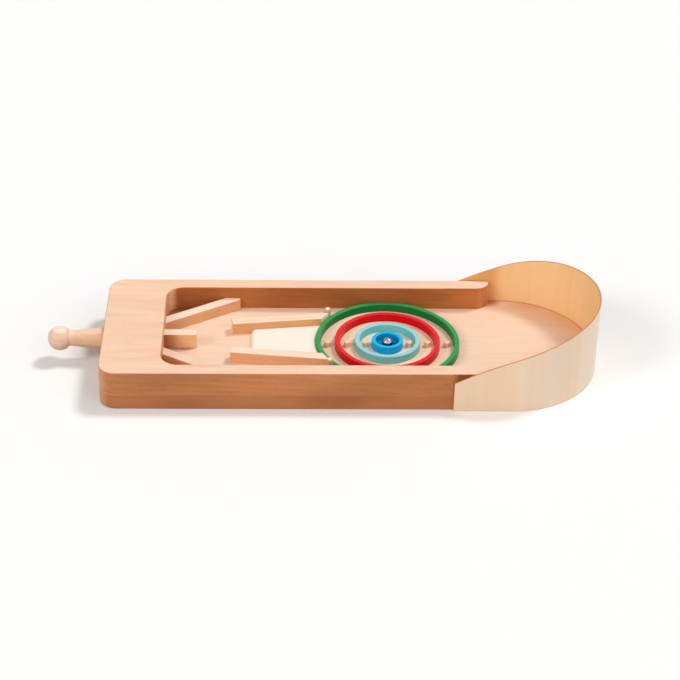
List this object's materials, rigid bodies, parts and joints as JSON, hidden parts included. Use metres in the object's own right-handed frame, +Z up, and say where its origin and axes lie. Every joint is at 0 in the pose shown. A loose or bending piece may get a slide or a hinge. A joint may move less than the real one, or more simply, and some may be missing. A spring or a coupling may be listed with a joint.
{
  "type": "wooden pachinko board",
  "caption": "Wooden tabletop pachinko board with a spring plunger, lane guides, a launch ramp, concentric plastic target rings round a cup, a bent plywood end wall and a steel ball.",
  "frame": {"origin": "under the middle of the whole object, on the surface that it stands on", "axes": "+X from the plunger handle towards the round end wall, +Y across the board, +Z up"},
  "size_m": [0.4032, 0.1342, 0.0586],
  "materials": {
    "beech": "sanded and waxed beech",
    "plywood": "bent birch plywood",
    "pale_wood": "pale sanded wood",
    "turned_wood": "turned and sanded beech",
    "dowel_wood": "dowel stock",
    "green_plastic": "glossy",
    "red_plastic": "glossy",
    "light_blue_plastic": "glossy",
    "blue_plastic": "glossy",
    "steel": "drawn steel",
    "polished_steel": "polished"
  },
  "bodies": {
    "board": {"base_board": "beech", "side_frame": "beech", "far_deflector": "beech", "near_deflector": "beech", "far_guide": "beech", "near_guide": "beech", "end_wall": "plywood", "launch_ramp": "pale_wood", "ring_peg_1": "dowel_wood", "ring_peg_2": "dowel_wood", "ring_peg_3": "dowel_wood", "ring_peg_4": "dowel_wood", "ring_peg_5": "dowel_wood", "ring_peg_6": "dowel_wood", "far_lane_peg": "dowel_wood", "near_lane_peg": "dowel_wood", "frame_dowels": "dowel_wood", "bar_dowels": "dowel_wood", "outer_ring": "green_plastic", "second_ring": "red_plastic", "third_ring": "light_blue_plastic", "centre_cup": "blue_plastic", "spring_washer": "steel", "plunger_spring": "steel"},
    "plunger": {"plunger_handle": "turned_wood", "plunger_rod": "steel", "striker": "beech", "striker_pin": "steel"},
    "ball": {"steel_ball": "polished_steel"}
  },
  "joints": [
    {"name": "plunger_pull", "type": "slide", "parent": "board", "child": "plunger", "axis": [-1, 0, 0], "range_m": [0, 0.02], "stiffness_N_per_m": 340, "springref_m": -0.005, "deforming": ["plunger_spring"]},
    {"name": "ball_lift", "type": "slide", "parent": "board", "child": "ball", "axis": [0, 0, 1], "range_m": [0, 0.05]}
  ]
}
